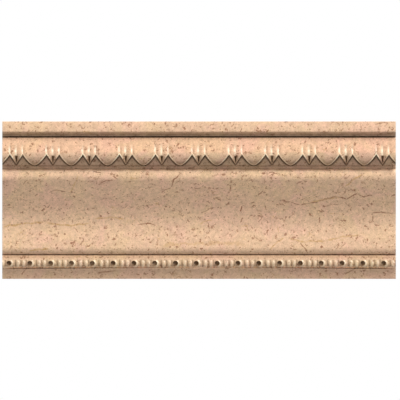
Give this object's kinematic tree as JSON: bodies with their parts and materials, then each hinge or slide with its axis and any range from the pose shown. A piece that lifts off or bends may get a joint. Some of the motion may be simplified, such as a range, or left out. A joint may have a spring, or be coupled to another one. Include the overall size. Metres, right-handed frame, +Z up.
{
  "type": "cornice moulding",
  "caption": "Straight length of carved stone cornice trim: fillet, egg-and-dart ovolo, nose, long cove, and a bead-and-reel astragal over a plain base, with a flat back.",
  "frame": {"origin": "centre of the flat sawn back, where the moulding meets the wall", "axes": "+X along the length, +Y into the wall, +Z up; the carved face looks towards -Y"},
  "size_m": [0.3, 0.055, 0.12],
  "materials": {
    "beige_marble": "polished warm beige marble with fine brown specks, hairline veins and soft cream patches; the back and the two ends are sawn and matt"
  },
  "bodies": {
    "root": {"cornice_moulding": "beige_marble"}
  },
  "joints": []
}
